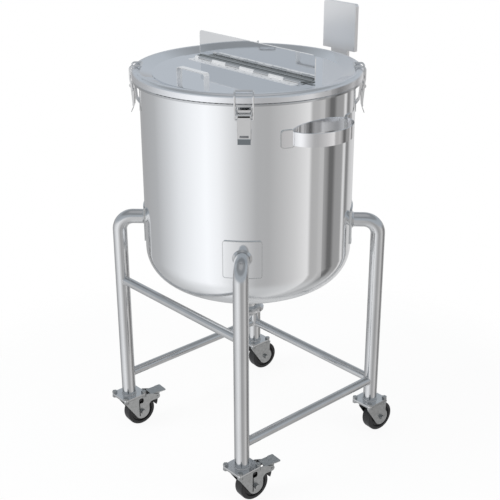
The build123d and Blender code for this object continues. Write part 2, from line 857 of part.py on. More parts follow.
def caster_wheel(corner):
    half = wheel_half_width
    hub = half + hub_side
    outline = [
        (axle_radius + axle_play, -hub),
        (hub_radius, -hub),
        (hub_radius, -half + web_depth),
        (web_radius, -half + web_depth),
        (web_radius + web_depth / 2, -half),
        (wheel_radius, -half),
        (wheel_radius, half),
        (web_radius + web_depth / 2, half),
        (web_radius, half - web_depth),
        (hub_radius, half - web_depth),
        (hub_radius, hub),
        (axle_radius + axle_play, hub),
    ]
    rounds = [((wheel_radius, -half), wheel_shoulder), ((wheel_radius, half), wheel_shoulder)]
    wheel = Rot(0, 90, 0) * turned(outline, rounds)
    return swivelled(corner) * Pos(0, *axle_at) * wheel


def brake_pedal(corner):
    # A flat tread over the rear of the fork, wider at its tail, on two ears that turn on the pivot pin.
    pivot_y, pivot_z = brake_pivot
    half = fork_inner - brake_side_gap
    front, step, tail = pivot_y - tread_front, pivot_y + tread_step, pivot_y + tread_tail
    top_z = pivot_z + tread_lift
    tread = Pos(0, (front + tail) / 2) * Rectangle(2 * half, tail - front)
    head = Pos(0, (step + tail) / 2) * RectangleRounded(2 * tread_half, tail - step, tread_corner)
    body = extrude(Pos(0, 0, top_z - brake_sheet) * (tread + head), brake_sheet)
    ear = make_face(Polyline(
        (front, top_z),
        (front, top_z - 2 * brake_sheet),
        (pivot_y, pivot_z - brake_ear),
        (pivot_y + brake_ear, pivot_z),
        (step, top_z),
        close=True,
    ))
    ear = ear + Pos(*brake_pivot) * Circle(brake_ear)
    body = body + prism_x(ear, half - brake_sheet, half) + prism_x(ear, -half, brake_sheet - half)
    pin_reach = fork_outer + brake_sheet / 2
    pin = prism_x(Pos(*brake_pivot) * Circle(brake_pin_radius), -pin_reach, pin_reach)
    return swivelled(corner) * (body + pin)


def brake_shoe(corner):
    # A rubber block that hangs on the pivot pin, with its face clear of the tyre by the shoe gap.
    pivot_y, pivot_z = brake_pivot
    block = make_face(Polyline(
        (pivot_y - shoe_eye, pivot_z),
        (pivot_y - shoe_eye, pivot_z - shoe_length / 2),
        (pivot_y - 1.5 * shoe_eye, pivot_z - 0.75 * shoe_length),
        (pivot_y, pivot_z - shoe_length),
        (pivot_y + shoe_eye / 2, pivot_z - 0.7 * shoe_length),
        (pivot_y + shoe_eye, pivot_z),
        close=True,
    ))
    block = block + Pos(*brake_pivot) * Circle(shoe_eye)
    block = block - Pos(*axle_at) * Circle(wheel_radius + shoe_gap)
    block = block - Pos(*brake_pivot) * Circle(brake_pin_radius)
    return swivelled(corner) * prism_x(block, -shoe_half, shoe_half)


nodes = {
    "tank_dish": tank_dish(),
    "tank_wall": tank_wall(),
    "tank_rim": tank_rim(),
    "lid": lid(),
    "lid_gasket": lid_gasket(),
    "hatch": hatch(),
    "hinge_rear_leaf": hinge_rear_leaf(),
    "hinge_front_leaf": hinge_front_leaf(),
    "hinge_pin": hinge_pin(),
    "stop_plate": stop_plate(),
    "hatch_handle": hatch_handle(),
    "outlet_neck": outlet_neck(),
    "outlet_union": outlet_union(),
    "mount_plate": mount_plate(),
    "mount_neck": mount_neck(),
    "mount_bracket": mount_bracket(),
    "grab_handle_right": grab_handle("right"),
    "grab_handle_left": grab_handle("left"),
    "bar_left_back": frame_bar("left", "back", low_bar_z),
    "bar_back_right": frame_bar("back", "right", low_bar_z),
    "bar_right_front": frame_bar("right", "front", low_bar_z),
    "bar_front_left": frame_bar("front", "left", high_bar_z),
    "leg_pads": leg_pads(),
    "caster_bolts": caster_bolts(),
}
for index, corner in enumerate(corners):
    nodes["leg_" + corner] = leg(corner)
    nodes["clip_base_" + corner] = clip_base(index)
    nodes["clip_lever_" + corner] = clip_lever(index)
    nodes["clip_bail_" + corner] = clip_bail(index)
    nodes["caster_plate_" + corner] = caster_plate(corner)
    nodes["caster_fork_" + corner] = caster_fork(corner)
    nodes["caster_axle_" + corner] = caster_axle(corner)
    nodes["caster_wheel_" + corner] = caster_wheel(corner)
for corner in braked:
    nodes["brake_pedal_" + corner] = brake_pedal(corner)
    nodes["brake_shoe_" + corner] = brake_shoe(corner)

os.makedirs("parts", exist_ok=True)
for name, shape in nodes.items():
    export_step(shape, os.path.join("parts", name + ".step"))
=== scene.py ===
import json
import math
import bpy
import bmesh
from mathutils import Matrix, Vector


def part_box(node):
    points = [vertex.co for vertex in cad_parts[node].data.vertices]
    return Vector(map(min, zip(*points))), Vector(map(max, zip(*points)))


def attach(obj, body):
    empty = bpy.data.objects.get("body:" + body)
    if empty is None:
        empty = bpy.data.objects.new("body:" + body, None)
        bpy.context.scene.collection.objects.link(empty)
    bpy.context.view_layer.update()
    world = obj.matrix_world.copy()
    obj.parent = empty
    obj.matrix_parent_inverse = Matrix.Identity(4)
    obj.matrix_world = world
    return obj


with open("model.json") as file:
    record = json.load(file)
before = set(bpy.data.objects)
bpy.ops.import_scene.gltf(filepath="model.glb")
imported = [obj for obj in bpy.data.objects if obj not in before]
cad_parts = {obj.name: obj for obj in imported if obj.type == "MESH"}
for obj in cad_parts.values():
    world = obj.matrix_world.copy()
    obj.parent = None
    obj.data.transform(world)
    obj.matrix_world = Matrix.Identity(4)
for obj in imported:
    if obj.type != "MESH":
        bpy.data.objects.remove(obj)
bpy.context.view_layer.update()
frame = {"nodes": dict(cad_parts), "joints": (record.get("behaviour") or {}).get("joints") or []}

nodes = frame["nodes"]

# camera, fitted to the photograph's view
cameraSetup = {
    "place": (1.9705, -1.7717, 1.7073),
    "forward": (-0.6834, 0.6168, -0.3906),
    "rollDegrees": -0.196,
    "lens": 73.81,
    "sensor": 36.0,
}


def makeCamera():
    forward = Vector(cameraSetup["forward"]).normalized()
    right = forward.cross(Vector((0, 0, 1))).normalized()
    up = right.cross(forward)
    roll = math.radians(cameraSetup["rollDegrees"])
    rightTurned = right * math.cos(roll) + up * math.sin(roll)
    upTurned = up * math.cos(roll) - right * math.sin(roll)
    data = bpy.data.cameras.new("photoCamera")
    data.lens = cameraSetup["lens"]
    data.sensor_width = cameraSetup["sensor"]
    camera = bpy.data.objects.new("photoCamera", data)
    bpy.context.scene.collection.objects.link(camera)
    turn = Matrix((rightTurned, upTurned, -forward)).transposed().to_4x4()
    camera.matrix_world = Matrix.Translation(cameraSetup["place"]) @ turn
    bpy.context.scene.camera = camera


makeCamera()
print("camera placed")

# the room that the steel reflects: bands are degrees to the right of the camera, then brightness
roomBands = {
    "cameraAzimuth": -41.96,
    "bands": (
        (-180, 0.42), (-148, 0.42), (-116, 0.50), (-94, 0.71), (-76, 0.91), (-60, 1.03), (-45, 1.12),
        (-31, 1.02), (-18, 0.82), (-4, 0.64), (9, 0.48), (22, 0.475), (36, 0.56), (50, 0.66),
        (68, 0.86), (71.5, 0.48), (80, 0.50), (84, 0.58), (91, 0.42), (97, 0.15), (103, 0.15),
        (108, 0.34), (121, 0.36), (124, 0.78), (127, 0.78), (131, 0.22), (136, 0.28), (142, 0.62),
        (160, 0.72), (180, 0.42),
    ),
    "heights": (
        (0.10, (0.52, 0.56, 0.61)), (0.52, (0.50, 0.54, 0.58)), (0.68, (0.33, 0.35, 0.37)),
        (0.86, (0.34, 0.36, 0.38)), (0.94, (0.50, 0.51, 0.53)),
    ),
    "darkSide": {"degrees": -97, "half": 36, "level": 0.92},
    "ground": {"colour": (0.70, 0.71, 0.72), "from": -0.50, "to": -0.80, "share": 0.50},
    "soft": (0.62, 0.63, 0.64),  # what matt surfaces are lit by
    "rise": (-0.08, 0.25),  # heights between which the bands give way to the ceiling
    "warmth": 0.014,
    "coolness": 1.01,
}


def addNode(tree, kind, **settings):
    node = tree.nodes.new(kind)
    for name, value in settings.items():
        setattr(node, name, value)
    return node


def mathNode(tree, operation, first, second=None):
    node = addNode(tree, "ShaderNodeMath", operation=operation)
    for socket, value in zip(node.inputs, (first, second)):
        if value is None:
            continue
        if isinstance(value, (int, float)):
            socket.default_value = value
        else:
            tree.links.new(value, socket)
    return node.outputs[0]


def fillRamp(node, stops):
    # stops are (place, colour), in rising order
    elements = node.color_ramp.elements
    elements.remove(elements[0])
    elements[0].position = stops[0][0]
    elements[0].color = (*stops[0][1], 1)
    for place, colour in stops[1:]:
        elements.new(place).color = (*colour, 1)


def bandColour(degrees, level):
    # cool light from the left, slightly warm from the right
    warm = roomBands["warmth"] * math.sin(math.radians(degrees))
    return (level * (1 + warm), level, level * (roomBands["coolness"] - warm))


def makeWorld():
    world = bpy.data.worlds.new("studio")
    bpy.context.scene.world = world
    world.use_nodes = True
    tree = world.node_tree
    tree.nodes.clear()
    link = tree.links.new
    coords = addNode(tree, "ShaderNodeTexCoord")
    turn = addNode(tree, "ShaderNodeVectorRotate", rotation_type="Z_AXIS")
    turn.inputs["Angle"].default_value = -math.radians(roomBands["cameraAzimuth"])
    link(coords.outputs["Generated"], turn.inputs["Vector"])
    split = addNode(tree, "ShaderNodeSeparateXYZ")
    link(turn.outputs["Vector"], split.inputs[0])
    angle = mathNode(tree, "ARCTAN2", split.outputs["Y"], split.outputs["X"])
    share = mathNode(tree, "MULTIPLY_ADD", angle, 0.5 / math.pi)
    share.node.inputs[2].default_value = 0.5
    ramp = addNode(tree, "ShaderNodeValToRGB")
    bands = roomBands["bands"]
    fillRamp(ramp, [((degrees + 180) / 360, bandColour(degrees, level)) for degrees, level in bands])
    link(share, ramp.inputs["Fac"])
    rise = addNode(tree, "ShaderNodeMapRange", interpolation_type="SMOOTHSTEP")
    rise.inputs["From Min"].default_value, rise.inputs["From Max"].default_value = roomBands["rise"]
    link(split.outputs["Z"], rise.inputs["Value"])
    upper = addNode(tree, "ShaderNodeValToRGB")
    fillRamp(upper, roomBands["heights"])
    link(split.outputs["Z"], upper.inputs["Fac"])
    side = roomBands["darkSide"]
    aside = mathNode(tree, "SUBTRACT", angle, math.radians(side["degrees"]))
    near = addNode(tree, "ShaderNodeMapRange", interpolation_type="SMOOTHSTEP")
    near.inputs["From Min"].default_value = math.radians(side["half"])
    near.inputs["From Max"].default_value = 0
    near.inputs["To Max"].default_value = 1 - side["level"]
    link(mathNode(tree, "ABSOLUTE", aside), near.inputs["Value"])
    shaded = addNode(tree, "ShaderNodeMix", data_type="RGBA")
    link(near.outputs["Result"], shaded.inputs["Factor"])
    link(upper.outputs["Color"], shaded.inputs["A"])
    shaded.inputs["B"].default_value = (0, 0, 0, 1)
    room = addNode(tree, "ShaderNodeMix", data_type="RGBA")
    link(rise.outputs["Result"], room.inputs["Factor"])
    link(ramp.outputs["Color"], room.inputs["A"])
    link(shaded.outputs["Result"], room.inputs["B"])
    low = roomBands["ground"]
    below = addNode(tree, "ShaderNodeMapRange", interpolation_type="SMOOTHSTEP")
    below.inputs["From Min"].default_value = low["from"]
    below.inputs["From Max"].default_value = low["to"]
    below.inputs["To Max"].default_value = low["share"]
    link(split.outputs["Z"], below.inputs["Value"])
    ground = addNode(tree, "ShaderNodeMix", data_type="RGBA")
    link(below.outputs["Result"], ground.inputs["Factor"])
    link(room.outputs["Result"], ground.inputs["A"])
    ground.inputs["B"].default_value = (*low["colour"], 1)
    path = addNode(tree, "ShaderNodeLightPath")
    glossy = addNode(tree, "ShaderNodeMix", data_type="RGBA")
    link(path.outputs["Is Glossy Ray"], glossy.inputs["Factor"])
    glossy.inputs["A"].default_value = (*roomBands["soft"], 1)
    link(ground.outputs["Result"], glossy.inputs["B"])
    seen = addNode(tree, "ShaderNodeMix", data_type="RGBA")
    link(path.outputs["Is Camera Ray"], seen.inputs["Factor"])
    link(glossy.outputs["Result"], seen.inputs["A"])
    seen.inputs["B"].default_value = (1, 1, 1, 1)
    back = addNode(tree, "ShaderNodeBackground")
    link(seen.outputs["Result"], back.inputs["Color"])
    out = addNode(tree, "ShaderNodeOutputWorld")
    link(back.outputs[0], out.inputs["Surface"])


makeWorld()

lampSetup = {
    "key": {"place": (-1.2, -2.6, 3.2), "aim": (0, 0, 0.6), "size": 1.8, "watts": 60},
    "fill": {"place": (2.8, 0.6, 2.6), "aim": (0, 0, 0.6), "size": 1.6, "watts": 25},
}


def makeLamps():
    for name, setup in lampSetup.items():
        data = bpy.data.lights.new(name, "AREA")
        data.energy = setup["watts"]
        data.size = setup["size"]
        lamp = bpy.data.objects.new(name, data)
        bpy.context.scene.collection.objects.link(lamp)
        lamp.location = setup["place"]
        aim = Vector(setup["aim"]) - lamp.location
        lamp.rotation_euler = aim.to_track_quat("-Z", "Y").to_euler()
        lamp.visible_glossy = False


makeLamps()

floorSetup = {
    "radius": 1.30,
    "sides": 128,
    "colour": 0.90,
    "whiteShare": 0.92,
    "fadeFrom": 0.85,
    "fadeTo": 1.25,
}


def makeFloor():
    mesh = bpy.data.meshes.new("floor")
    shape = bmesh.new()
    bmesh.ops.create_circle(
        shape, cap_ends=True, segments=floorSetup["sides"], radius=floorSetup["radius"],
    )
    shape.to_mesh(mesh)
    shape.free()
    floor = bpy.data.objects.new("floor", mesh)
    bpy.context.scene.collection.objects.link(floor)
    material = bpy.data.materials.new("paleFloor")
    material.use_nodes = True
    tree = material.node_tree
    tree.nodes.clear()
    link = tree.links.new
    matt = addNode(tree, "ShaderNodeBsdfDiffuse")
    level = floorSetup["colour"]
    matt.inputs["Color"].default_value = (level, level, level, 1)
    glow = addNode(tree, "ShaderNodeEmission")
    glow.inputs["Color"].default_value = (1, 1, 1, 1)
    path = addNode(tree, "ShaderNodeLightPath")
    share = mathNode(tree, "MULTIPLY", path.outputs["Is Camera Ray"], floorSetup["whiteShare"])
    lit = addNode(tree, "ShaderNodeMixShader")
    link(share, lit.inputs["Fac"])
    link(matt.outputs[0], lit.inputs[1])
    link(glow.outputs[0], lit.inputs[2])
    # towards its edge, and to what the steel reflects, the floor gives way to the room
    coords = addNode(tree, "ShaderNodeTexCoord")
    distance = addNode(tree, "ShaderNodeVectorMath", operation="LENGTH")
    link(coords.outputs["Object"], distance.inputs[0])
    fade = addNode(tree, "ShaderNodeMapRange", interpolation_type="SMOOTHSTEP")
    fade.inputs["From Min"].default_value = floorSetup["fadeFrom"]
    fade.inputs["From Max"].default_value = floorSetup["fadeTo"]
    link(distance.outputs["Value"], fade.inputs["Value"])
    gone = mathNode(tree, "MAXIMUM", fade.outputs["Result"], path.outputs["Is Glossy Ray"])
    clear = addNode(tree, "ShaderNodeBsdfTransparent")
    mix = addNode(tree, "ShaderNodeMixShader")
    link(gone, mix.inputs["Fac"])
    link(lit.outputs[0], mix.inputs[1])
    link(clear.outputs[0], mix.inputs[2])
    out = addNode(tree, "ShaderNodeOutputMaterial")
    link(mix.outputs[0], out.inputs["Surface"])
    floor.data.materials.append(material)


makeFloor()
print("room and floor made")


grainSetup = {"cloudDetail": 3, "lineDetail": 1, "depth": 0.0004}


def makeGrainGroup():
    # cloudy buffing and fine lines on sheet and pipe, stretched along one direction
    group = bpy.data.node_groups.new("buffGrain", "ShaderNodeTree")
    face = group.interface
    for name, default in (("Cloud", 6.0), ("Lines", 900.0), ("Rough", 0.15), ("Spread", 0.06)):
        socket = face.new_socket(name, in_out="INPUT", socket_type="NodeSocketFloat")
        socket.default_value = default
    for name in ("Stretch", "Line Stretch"):
        socket = face.new_socket(name, in_out="INPUT", socket_type="NodeSocketVector")
        socket.default_value = (1, 1, 1)
    face.new_socket("Roughness", in_out="OUTPUT", socket_type="NodeSocketFloat")
    face.new_socket("Height", in_out="OUTPUT", socket_type="NodeSocketFloat")
    face.new_socket("Shade", in_out="OUTPUT", socket_type="NodeSocketFloat")
    start = addNode(group, "NodeGroupInput")
    end = addNode(group, "NodeGroupOutput")
    link = group.links.new
    coords = addNode(group, "ShaderNodeTexCoord")
    wide = addNode(group, "ShaderNodeVectorMath", operation="MULTIPLY")
    link(coords.outputs["Object"], wide.inputs[0])
    link(start.outputs["Stretch"], wide.inputs[1])
    cloud = addNode(group, "ShaderNodeTexNoise")
    cloud.inputs["Detail"].default_value = grainSetup["cloudDetail"]
    link(wide.outputs[0], cloud.inputs["Vector"])
    link(start.outputs["Cloud"], cloud.inputs["Scale"])
    fine = addNode(group, "ShaderNodeVectorMath", operation="MULTIPLY")
    link(coords.outputs["Object"], fine.inputs[0])
    link(start.outputs["Line Stretch"], fine.inputs[1])
    lines = addNode(group, "ShaderNodeTexNoise")
    lines.inputs["Detail"].default_value = grainSetup["lineDetail"]
    link(fine.outputs[0], lines.inputs["Vector"])
    link(start.outputs["Lines"], lines.inputs["Scale"])
    offset = mathNode(group, "SUBTRACT", cloud.outputs["Fac"], 0.5)
    swing = mathNode(group, "MULTIPLY", offset, start.outputs["Spread"])
    rough = mathNode(group, "ADD", swing, start.outputs["Rough"])
    link(rough, end.inputs["Roughness"])
    link(lines.outputs["Fac"], end.inputs["Height"])
    link(cloud.outputs["Fac"], end.inputs["Shade"])
    return group


grainGroup = makeGrainGroup()

# painted shade: a dark foot, between two heights above the lowest point of a frame piece
steelLooks = {
    "polishedWall": {
        "colour": (0.84, 0.85, 0.86), "shade": 0.04, "rough": 0.07, "spread": 0.04, "cloud": 2.2,
        "stretch": (3.0, 3.0, 0.5), "lines": 40.0, "lineStretch": (1, 1, 30), "bump": 0.02,
        "softer": {"along": "height", "from": 0.60, "to": 0.545, "add": 0.20},
    },
    # painted shade: the rim is coloured darker for the shadow it lies in under the lid
    "rimShadeSteel": {
        "colour": (0.56, 0.57, 0.58), "shade": 0.05, "rough": 0.16, "spread": 0.05, "cloud": 8.0,
        "stretch": (1, 1, 1), "lines": 60.0, "lineStretch": (1, 1, 20), "bump": 0.02,
    },
    "mirrorSheet": {
        "colour": (0.84, 0.85, 0.87), "shade": 0.03, "rough": 0.045, "spread": 0.02, "cloud": 3.0,
        "stretch": (1, 1, 1), "lines": 60.0, "lineStretch": (1, 8, 1), "bump": 0.01,
        "softer": {"along": "radius", "from": 0.280, "to": 0.287, "add": 0.20},
    },
    "pipeSteel": {
        "colour": (0.66, 0.665, 0.67), "shade": 0.10, "rough": 0.13, "spread": 0.08, "cloud": 14.0,
        "stretch": (2, 2, 0.6), "lines": 50.0, "lineStretch": (1, 1, 24), "bump": 0.03,
    },
    "bandSteel": {
        "colour": (0.82, 0.82, 0.83), "shade": 0.04, "rough": 0.11, "spread": 0.05, "cloud": 10.0,
        "stretch": (1, 1, 1), "lines": 70.0, "lineStretch": (1, 1, 20), "bump": 0.02,
    },
    "clipSteel": {
        "colour": (0.78, 0.78, 0.78), "shade": 0.06, "rough": 0.16, "spread": 0.07, "cloud": 30.0,
        "stretch": (1, 1, 1), "lines": 120.0, "lineStretch": (1, 1, 12), "bump": 0.02,
    },
    "leverSteel": {
        "colour": (0.80, 0.80, 0.80), "shade": 0.06, "rough": 0.16, "spread": 0.07, "cloud": 30.0,
        "stretch": (1, 1, 1), "lines": 120.0, "lineStretch": (1, 1, 12), "bump": 0.02,
        # painted shade: the tails of the clip levers are coloured dark
        "paintedShade": {
            "piece": "clip_lever_front", "below": 0.0122, "clear": 0.0132, "colour": (0.30, 0.31, 0.31),
        },
    },
    "weldBead": {
        "colour": (0.62, 0.62, 0.62), "shade": 0.12, "rough": 0.28, "spread": 0.10, "cloud": 160.0,
        "stretch": (1, 1, 1), "lines": 300.0, "lineStretch": (1, 1, 1), "bump": 0.15,
    },
    "sheetWeld": {
        "colour": (0.64, 0.65, 0.65), "shade": 0.12, "rough": 0.30, "spread": 0.10, "cloud": 160.0,
        "stretch": (1, 1, 1), "lines": 300.0, "lineStretch": (1, 1, 1), "bump": 0.12,
    },
    # painted shade: the pressed bars on the levers are coloured dark
    "pressedShadeMark": {
        "colour": (0.30, 0.30, 0.31), "shade": 0.15, "rough": 0.38, "spread": 0.10, "cloud": 160.0,
        "stretch": (1, 1, 1), "lines": 300.0, "lineStretch": (1, 1, 1), "bump": 0.15,
    },
    "satinSheet": {
        "colour": (0.94, 0.94, 0.945), "shade": 0.03, "rough": 0.30, "spread": 0.05, "cloud": 9.0,
        "stretch": (1, 1, 1), "lines": 60.0, "lineStretch": (1, 1, 20), "bump": 0.03, "metal": 0.85,
    },
    "stopSheet": {
        "colour": (0.92, 0.925, 0.93), "shade": 0.03, "rough": 0.045, "spread": 0.02, "cloud": 3.0,
        "stretch": (1, 1, 1), "lines": 60.0, "lineStretch": (1, 1, 8), "bump": 0.01,
        # painted shadow: the foot of the upright plate is coloured dark, behind the hinge barrel
        "paintedShade": {
            "piece": "stop_plate", "below": 0.0022, "clear": 0.0040, "colour": (0.20, 0.21, 0.20),
        },
    },
    "strapSteel": {
        "colour": (0.97, 0.97, 0.97), "shade": 0.03, "rough": 0.22, "spread": 0.05, "cloud": 12.0,
        "stretch": (1, 1, 1), "lines": 90.0, "lineStretch": (1, 12, 1), "bump": 0.03, "metal": 0.5,
    },
    "zincPlate": {
        "colour": (0.44, 0.45, 0.45), "shade": 0.30, "rough": 0.30, "spread": 0.18, "cloud": 120.0,
        "stretch": (1, 1, 1), "lines": 400.0, "lineStretch": (1, 1, 1), "bump": 0.06,
    },
}


def makeSteel(name):
    look = steelLooks[name]
    material = bpy.data.materials.new(name)
    material.use_nodes = True
    tree = material.node_tree
    link = tree.links.new
    shader = tree.nodes["Principled BSDF"]
    shader.inputs["Metallic"].default_value = look.get("metal", 1.0)
    grain = addNode(tree, "ShaderNodeGroup", node_tree=grainGroup)
    grain.inputs["Cloud"].default_value = look["cloud"]
    grain.inputs["Lines"].default_value = look["lines"]
    grain.inputs["Rough"].default_value = look["rough"]
    grain.inputs["Spread"].default_value = look["spread"]
    grain.inputs["Stretch"].default_value = look["stretch"]
    grain.inputs["Line Stretch"].default_value = look["lineStretch"]
    tint = addNode(tree, "ShaderNodeMix", data_type="RGBA")
    tint.inputs["A"].default_value = (*[c * (1 - look["shade"]) for c in look["colour"]], 1)
    tint.inputs["B"].default_value = (*[min(1, c * (1 + look["shade"])) for c in look["colour"]], 1)
    link(grain.outputs["Shade"], tint.inputs["Factor"])
    colour = tint.outputs["Result"]
    if "paintedShade" in look:
        # painted shade: the colour darkens towards the piece's foot
        paintedShade = look["paintedShade"]
        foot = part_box(paintedShade["piece"])[0][2]
        coords = addNode(tree, "ShaderNodeTexCoord")
        split = addNode(tree, "ShaderNodeSeparateXYZ")
        link(coords.outputs["Object"], split.inputs[0])
        height = addNode(tree, "ShaderNodeMapRange", interpolation_type="SMOOTHSTEP")
        height.inputs["From Min"].default_value = foot + paintedShade["below"]
        height.inputs["From Max"].default_value = foot + paintedShade["clear"]
        link(split.outputs["Z"], height.inputs["Value"])
        paintedShadeMix = addNode(tree, "ShaderNodeMix", data_type="RGBA")
        link(height.outputs["Result"], paintedShadeMix.inputs["Factor"])
        paintedShadeMix.inputs["A"].default_value = (*paintedShade["colour"], 1)
        link(colour, paintedShadeMix.inputs["B"])
        colour = paintedShadeMix.outputs["Result"]
    link(colour, shader.inputs["Base Color"])
    roughness = grain.outputs["Roughness"]
    if "softer" in look:
        # the polish gets softer further down, or further out from the tank's axis
        soft = look["softer"]
        coords = addNode(tree, "ShaderNodeTexCoord")
        flat = addNode(tree, "ShaderNodeVectorMath", operation="MULTIPLY")
        flat.inputs[1].default_value = (0, 0, 1) if soft["along"] == "height" else (1, 1, 0)
        link(coords.outputs["Object"], flat.inputs[0])
        distance = addNode(tree, "ShaderNodeVectorMath", operation="LENGTH")
        link(flat.outputs[0], distance.inputs[0])
        depth = addNode(tree, "ShaderNodeMapRange", interpolation_type="SMOOTHSTEP")
        depth.inputs["From Min"].default_value = soft["from"]
        depth.inputs["From Max"].default_value = soft["to"]
        depth.inputs["To Max"].default_value = soft["add"]
        link(distance.outputs["Value"], depth.inputs["Value"])
        roughness = mathNode(tree, "ADD", roughness, depth.outputs["Result"])
    link(roughness, shader.inputs["Roughness"])
    bump = addNode(tree, "ShaderNodeBump")
    bump.inputs["Strength"].default_value = look["bump"]
    bump.inputs["Distance"].default_value = grainSetup["depth"]
    link(grain.outputs["Height"], bump.inputs["Height"])
    link(bump.outputs["Normal"], shader.inputs["Normal"])
    return material


rubberLooks = {
    "tyreRubber": {"colour": (0.010, 0.010, 0.011), "rough": 0.34, "speck": 220.0},
    "gasketRubber": {"colour": (0.10, 0.10, 0.10), "rough": 0.5, "speck": 160.0},
}
rubberGrain = {"dark": 0.7, "light": 1.5, "smoother": 0.08, "rougher": 0.10, "bump": 0.15, "depth": 0.0003}


def makeRubber(name):
    look = rubberLooks[name]
    material = bpy.data.materials.new(name)
    material.use_nodes = True
    tree = material.node_tree
    link = tree.links.new
    shader = tree.nodes["Principled BSDF"]
    coords = addNode(tree, "ShaderNodeTexCoord")
    speck = addNode(tree, "ShaderNodeTexNoise")
    speck.inputs["Scale"].default_value = look["speck"]
    link(coords.outputs["Object"], speck.inputs["Vector"])
    tint = addNode(tree, "ShaderNodeMix", data_type="RGBA")
    tint.inputs["A"].default_value = (*[c * rubberGrain["dark"] for c in look["colour"]], 1)
    tint.inputs["B"].default_value = (*[c * rubberGrain["light"] for c in look["colour"]], 1)
    link(speck.outputs["Fac"], tint.inputs["Factor"])
    link(tint.outputs["Result"], shader.inputs["Base Color"])
    rough = addNode(tree, "ShaderNodeMapRange")
    rough.inputs["To Min"].default_value = look["rough"] - rubberGrain["smoother"]
    rough.inputs["To Max"].default_value = look["rough"] + rubberGrain["rougher"]
    link(speck.outputs["Fac"], rough.inputs["Value"])
    link(rough.outputs["Result"], shader.inputs["Roughness"])
    bump = addNode(tree, "ShaderNodeBump")
    bump.inputs["Strength"].default_value = rubberGrain["bump"]
    bump.inputs["Distance"].default_value = rubberGrain["depth"]
    link(speck.outputs["Fac"], bump.inputs["Height"])
    link(bump.outputs["Normal"], shader.inputs["Normal"])
    return material


materials = {name: makeSteel(name) for name in steelLooks}
materials.update({name: makeRubber(name) for name in rubberLooks})
print("steel and rubber made")

# which finish each piece of the frame takes, by the start of its name
nodeFinish = (
    ("caster_wheel", "tyreRubber"),
    ("brake_shoe", "tyreRubber"),
    ("lid_gasket", "gasketRubber"),
    ("caster_", "zincPlate"),
    ("brake_", "zincPlate"),
    ("tank_rim", "rimShadeSteel"),
    ("tank_", "polishedWall"),
    ("lid", "mirrorSheet"),
    ("hatch_handle", "strapSteel"),
    ("hatch", "mirrorSheet"),
    ("stop_plate", "stopSheet"),
    ("mount_", "satinSheet"),
    ("leg_pad", "polishedWall"),
    ("leg_", "pipeSteel"),
    ("bar_", "pipeSteel"),
    ("outlet_", "pipeSteel"),
    ("grab_", "bandSteel"),
    ("clip_lever", "leverSteel"),
    ("clip_", "clipSteel"),
    ("hinge_front", "strapSteel"),
    ("hinge_", "clipSteel"),
)


def finishNodes():
    for name, node in nodes.items():
        finish = next(f for start, f in nodeFinish if name.startswith(start))
        node.data.materials.clear()
        node.data.materials.append(materials[finish])


finishNodes()
print("frame pieces finished")


def newPiece(name, shape, body, finish, smooth=True):
    # the mesh already lies in place, and the object stays at the origin
    mesh = bpy.data.meshes.new(name)
    bmesh.ops.recalc_face_normals(shape, faces=shape.faces)
    shape.to_mesh(mesh)
    shape.free()
    piece = bpy.data.objects.new(name, mesh)
    bpy.context.scene.collection.objects.link(piece)
    for face in mesh.polygons:
        face.use_smooth = smooth
    mesh.materials.append(materials[finish])
    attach(piece, body)
    return piece


def addRing(shape, radius, thickness, turn, roundSteps=64, beadSteps=8):
    # a bead round the Z axis, then turned and moved
    made = bmesh.ops.create_circle(shape, segments=beadSteps, radius=thickness)
    bead = made["verts"]
    bmesh.ops.rotate(shape, verts=bead, cent=(0, 0, 0), matrix=Matrix.Rotation(math.pi / 2, 3, "X"))
    bmesh.ops.translate(shape, verts=bead, vec=(radius, 0, 0))
    before = set(shape.verts) - set(bead)
    edges = {edge for vert in bead for edge in vert.link_edges}
    bmesh.ops.spin(
        shape, geom=list(bead) + list(edges), cent=(0, 0, 0), axis=(0, 0, 1), angle=2 * math.pi,
        steps=roundSteps, use_merge=True,
    )
    ring = [vert for vert in shape.verts if vert not in before]
    bmesh.ops.transform(shape, matrix=turn, verts=ring)
    return ring


# the four corners by name, from the casters' swivels
swivels = {
    joint["name"].split("_")[1]: joint["pos_m"] for joint in frame["joints"] if "swivel" in joint["name"]
}

pipeWelds = {
    "legRadius": 0.020,
    "barRadius": 0.0125,
    "footSheet": 0.004,
    "footBead": 0.0022,
    "footClear": 0.0004,
    "barBead": 0.0013,
    "barClear": 0.0003,
    "follow": 0.9,  # share of the leg's round that a bead follows
    "bars": (("left", "back"), ("back", "right"), ("right", "front"), ("front", "left")),
}


def makeFootWelds():
    shape = bmesh.new()
    for name, place in swivels.items():
        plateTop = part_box("leg_" + name)[0][2] + pipeWelds["footSheet"]
        turn = Matrix.Translation((place[0], place[1], plateTop))
        addRing(shape, pipeWelds["legRadius"] + pipeWelds["footClear"], pipeWelds["footBead"], turn)
    newPiece("foot_welds", shape, "tank", "weldBead")


def makeBarWelds():
    shape = bmesh.new()
    legRadius = pipeWelds["legRadius"]
    for first, second in pipeWelds["bars"]:
        low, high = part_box("bar_" + first + "_" + second)
        height = (low[2] + high[2]) / 2
        for here, there in ((first, second), (second, first)):
            start = Vector((*swivels[here][:2], height))
            end = Vector((*swivels[there][:2], height))
            along = (end - start).normalized()
            turn = Matrix.Translation(start) @ along.to_track_quat("Z", "Y").to_matrix().to_4x4()
            beadRadius = pipeWelds["barRadius"] + pipeWelds["barClear"]
            ring = addRing(shape, beadRadius, pipeWelds["barBead"], turn)
            across = along.cross(Vector((0, 0, 1)))
            for vert in ring:
                # the bead follows the round of the leg
                aside = (vert.co - start).dot(across)
                reach = min(abs(aside), pipeWelds["follow"] * legRadius)
                vert.co += along * math.sqrt(legRadius ** 2 - reach ** 2)
    newPiece("bar_welds", shape, "tank", "weldBead")


makeFootWelds()
makeBarWelds()
print("pipe welds made")

